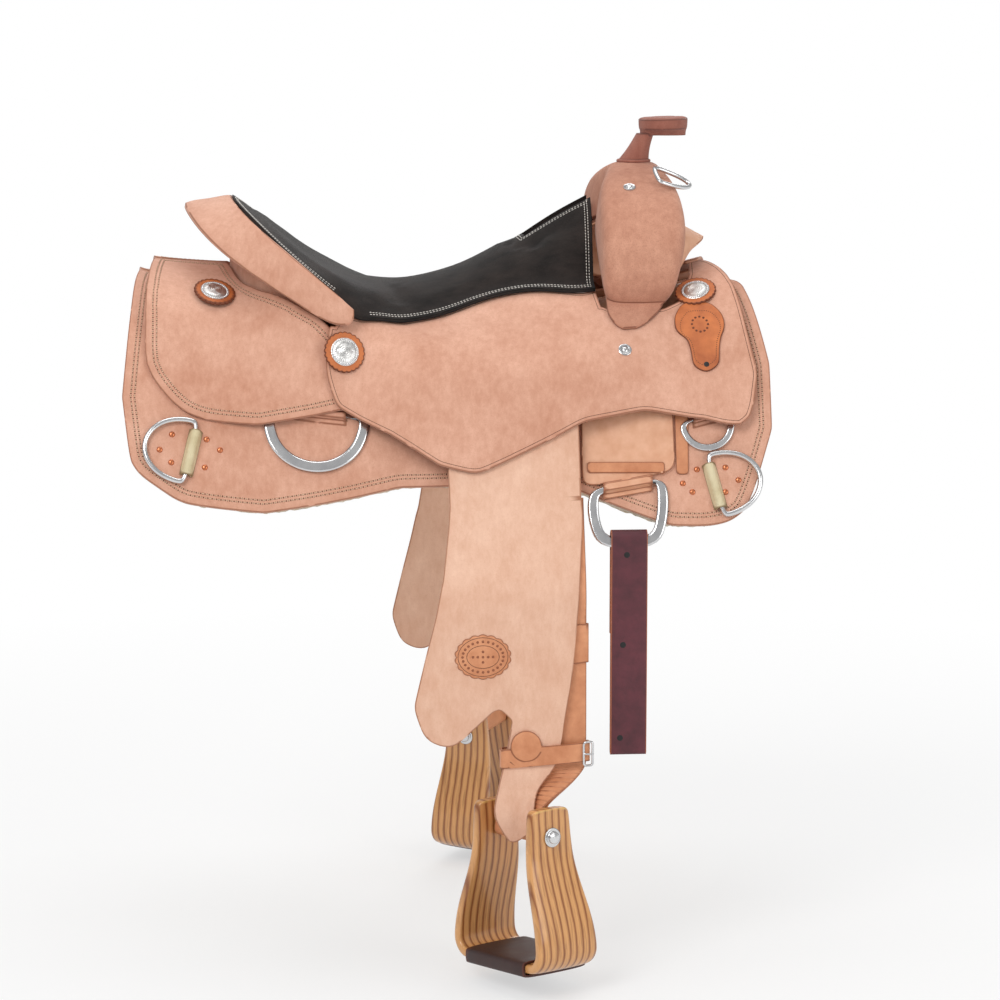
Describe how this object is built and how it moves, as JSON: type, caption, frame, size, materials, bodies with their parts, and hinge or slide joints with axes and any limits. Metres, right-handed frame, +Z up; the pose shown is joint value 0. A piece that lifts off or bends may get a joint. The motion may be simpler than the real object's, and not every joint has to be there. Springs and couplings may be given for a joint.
{
  "type": "western show saddle",
  "caption": "Western show saddle: roughout skirts, jockeys and fenders over a wood tree, black suede seat, horn, swinging fenders with wooden stirrups, rigging dees and an off billet.",
  "frame": {"origin": "on the middle plane, on the crest of the horse's back under the deepest part of the seat", "axes": "+X towards the horse's head, +Y to the horse's left, +Z up"},
  "size_m": [0.6887, 0.691, 0.8901],
  "materials": {
    "bright_steel": "polished stainless steel",
    "cream_web": "cream rawhide, satin",
    "dark_leather": "dark brown leather",
    "fleece": "wool pile",
    "latigo_leather": "burgundy latigo, waxy",
    "roughout_leather": "roughout, nap side out",
    "silver": "engraved silver plate",
    "smooth_leather": "smooth oiled skirting leather",
    "stirrup_wood": "bent laminated wood, varnished",
    "suede": "black suede, matt",
    "tree": "wood, sealed and lacquered"
  },
  "bodies": {
    "saddle": {"cantle_back": "roughout_leather", "cantle_roll": "roughout_leather", "fleece_left": "fleece", "fleece_right": "fleece", "fork_cover": "roughout_leather", "front_concho_left": "silver", "front_concho_right": "silver", "front_ring_keeper_left": "cream_web", "front_ring_keeper_right": "cream_web", "ground_seat": "tree", "gullet_cover": "smooth_leather", "horn": "roughout_leather", "leather_hanger_left": "smooth_leather", "leather_hanger_right": "smooth_leather", "middle_concho_left": "silver", "middle_concho_right": "silver", "rear_concho_left": "silver", "rear_concho_right": "silver", "rear_jockey_left": "roughout_leather", "rear_jockey_right": "roughout_leather", "rear_ring_keeper_left": "cream_web", "rear_ring_keeper_right": "cream_web", "rigging_plate_left": "smooth_leather", "rigging_plate_right": "smooth_leather", "seat_jockey_left": "roughout_leather", "seat_jockey_right": "roughout_leather", "seat_pad": "suede", "skirt_left": "roughout_leather", "skirt_right": "roughout_leather", "tree_bar_left": "tree", "tree_bar_right": "tree", "tree_fork": "roughout_leather"},
    "fender_upper_right": {"fender_top_right": "roughout_leather"},
    "fender_lower_right": {"fender_right": "roughout_leather", "stirrup_leather_right": "smooth_leather", "hobble_strap_right": "smooth_leather"},
    "sleeve_right": {"sleeve_right": "smooth_leather"},
    "stirrup_right": {"stirrup_frame_right": "stirrup_wood", "stirrup_tread_right": "dark_leather", "stirrup_bolt_right": "bright_steel"},
    "rigging_dee_right": {"rigging_dee_right": "bright_steel"},
    "flank_dee_right": {"flank_dee_right": "bright_steel"},
    "breast_dee_right": {"breast_dee_right": "bright_steel"},
    "rear_ring_right": {"rear_ring_right": "bright_steel"},
    "front_ring_right": {"front_ring_right": "bright_steel"},
    "fender_upper_left": {"fender_top_left": "roughout_leather"},
    "fender_lower_left": {"fender_left": "roughout_leather", "stirrup_leather_left": "smooth_leather", "hobble_strap_left": "smooth_leather"},
    "sleeve_left": {"sleeve_left": "smooth_leather"},
    "stirrup_left": {"stirrup_frame_left": "stirrup_wood", "stirrup_tread_left": "dark_leather", "stirrup_bolt_left": "bright_steel"},
    "rigging_dee_left": {"rigging_dee_left": "bright_steel"},
    "flank_dee_left": {"flank_dee_left": "bright_steel"},
    "breast_dee_left": {"breast_dee_left": "bright_steel"},
    "rear_ring_left": {"rear_ring_left": "bright_steel"},
    "front_ring_left": {"front_ring_left": "bright_steel"},
    "fork_loop": {"fork_loop": "bright_steel"},
    "off_billet": {"off_billet": "latigo_leather"}
  },
  "joints": [
    {"name": "fender_swing_right", "type": "hinge", "parent": "saddle", "child": "fender_upper_right", "pos_m": [0.08, -0.15606, -0.04311], "axis": [0, -0.9296, 0.3686], "range_deg": [-9, 1]},
    {"name": "fender_lift_right", "type": "hinge", "parent": "fender_upper_right", "child": "fender_lower_right", "pos_m": [0.08, -0.21645, -0.17254], "axis": [-0.9974, 0, -0.0725], "range_deg": [0, 70]},
    {"name": "sleeve_slide_right", "type": "slide", "parent": "fender_lower_right", "child": "sleeve_right", "axis": [0, 0.0349, 0.9994], "range_m": [0, 0.008]},
    {"name": "stirrup_turn_right", "type": "hinge", "parent": "fender_lower_right", "child": "stirrup_right", "pos_m": [0.063, -0.25262, -0.52082], "axis": [0.5434, -0.8359, 0.0773], "range_deg": [-20, 12]},
    {"name": "rigging_dee_lift_right", "type": "hinge", "parent": "saddle", "child": "rigging_dee_right", "pos_m": [0.18, -0.1989, -0.1594], "axis": [-0.9876, 0, -0.1571], "range_deg": [0, 70]},
    {"name": "flank_dee_lift_right", "type": "hinge", "parent": "saddle", "child": "flank_dee_right", "pos_m": [-0.147, -0.1624, -0.08488], "axis": [-0.993, 0, 0.1185], "range_deg": [0, 8]},
    {"name": "breast_dee_lift_right", "type": "hinge", "parent": "saddle", "child": "breast_dee_right", "pos_m": [0.265, -0.17522, -0.09013], "axis": [-0.9701, 0, -0.2425], "range_deg": [0, 14]},
    {"name": "rear_ring_turn_right", "type": "hinge", "parent": "saddle", "child": "rear_ring_right", "pos_m": [-0.28, -0.1913, -0.12101], "axis": [0.2229, 0.3941, 0.8916], "range_deg": [0, 150]},
    {"name": "front_ring_turn_right", "type": "hinge", "parent": "saddle", "child": "front_ring_right", "pos_m": [0.272, -0.20674, -0.16053], "axis": [0.2239, -0.3849, -0.8954], "range_deg": [0, 150]},
    {"name": "fender_swing_left", "type": "hinge", "parent": "saddle", "child": "fender_upper_left", "pos_m": [0.08, 0.15606, -0.04311], "axis": [0, -0.9296, -0.3686], "range_deg": [-9, 1]},
    {"name": "fender_lift_left", "type": "hinge", "parent": "fender_upper_left", "child": "fender_lower_left", "pos_m": [0.08, 0.21645, -0.17254], "axis": [0.9974, 0, 0.0725], "range_deg": [0, 70]},
    {"name": "sleeve_slide_left", "type": "slide", "parent": "fender_lower_left", "child": "sleeve_left", "axis": [0, -0.0349, 0.9994], "range_m": [0, 0.008]},
    {"name": "stirrup_turn_left", "type": "hinge", "parent": "fender_lower_left", "child": "stirrup_left", "pos_m": [0.063, 0.25262, -0.52082], "axis": [-0.5434, -0.8359, -0.0773], "range_deg": [-20, 12]},
    {"name": "rigging_dee_lift_left", "type": "hinge", "parent": "saddle", "child": "rigging_dee_left", "pos_m": [0.18, 0.1989, -0.1594], "axis": [0.9876, 0, 0.1571], "range_deg": [0, 70]},
    {"name": "flank_dee_lift_left", "type": "hinge", "parent": "saddle", "child": "flank_dee_left", "pos_m": [-0.147, 0.1624, -0.08488], "axis": [0.993, 0, -0.1185], "range_deg": [0, 8]},
    {"name": "breast_dee_lift_left", "type": "hinge", "parent": "saddle", "child": "breast_dee_left", "pos_m": [0.265, 0.17522, -0.09013], "axis": [0.9701, 0, 0.2425], "range_deg": [0, 14]},
    {"name": "rear_ring_turn_left", "type": "hinge", "parent": "saddle", "child": "rear_ring_left", "pos_m": [-0.28, 0.1913, -0.12101], "axis": [-0.2229, 0.3941, -0.8916], "range_deg": [0, 150]},
    {"name": "front_ring_turn_left", "type": "hinge", "parent": "saddle", "child": "front_ring_left", "pos_m": [0.272, 0.20674, -0.16053], "axis": [-0.2239, -0.3849, 0.8954], "range_deg": [0, 150]},
    {"name": "fork_loop_lift", "type": "hinge", "parent": "saddle", "child": "fork_loop", "pos_m": [0.2236, -0.076, 0.1609], "axis": [0.1444, -0.8249, -0.5465], "range_deg": [0, 100]},
    {"name": "off_billet_swing", "type": "hinge", "parent": "rigging_dee_right", "child": "off_billet", "pos_m": [0.179, -0.22129, -0.21904], "axis": [-1, 0, 0], "range_deg": [-12, 50]}
  ]
}
